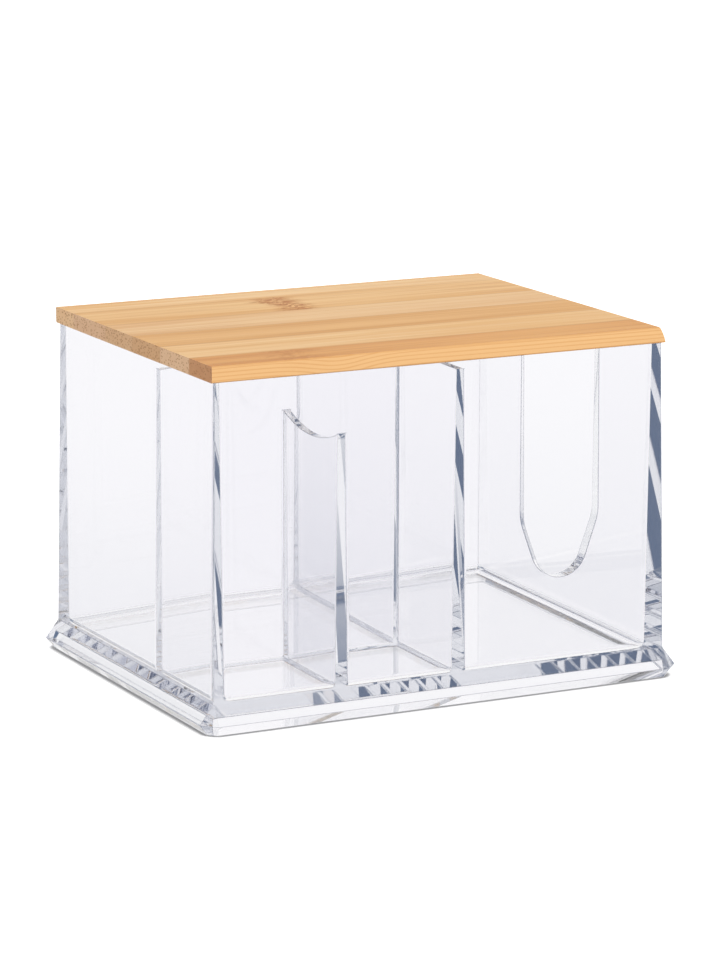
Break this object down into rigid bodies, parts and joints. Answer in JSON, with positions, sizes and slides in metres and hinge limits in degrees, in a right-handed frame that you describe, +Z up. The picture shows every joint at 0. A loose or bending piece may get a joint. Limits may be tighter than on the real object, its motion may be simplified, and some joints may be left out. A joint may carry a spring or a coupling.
{
  "type": "lidded organiser box",
  "caption": "Clear moulded box with divided compartments, a finger slot in the front wall and a loose bamboo board as its lid, for cotton swabs, pads and balls.",
  "frame": {"origin": "centre of the footprint, on the surface the box stands on", "axes": "+Z up, +X to the right and -Y to the front, the side with the finger slot"},
  "size_m": [0.1648, 0.1278, 0.1115],
  "materials": {
    "clear_plastic": "polished, transparent",
    "bamboo": "fine sanded, clear satin lacquer"
  },
  "bodies": {
    "box": {"clear_box": "clear_plastic"},
    "lid": {"lid_strip_1": "bamboo", "lid_strip_2": "bamboo", "lid_strip_3": "bamboo", "lid_strip_4": "bamboo", "lid_strip_5": "bamboo", "lid_strip_6": "bamboo"}
  },
  "joints": [
    {"name": "lid_lift", "type": "slide", "parent": "box", "child": "lid", "axis": [0, 0, 1], "range_m": [0, 0.08]}
  ]
}
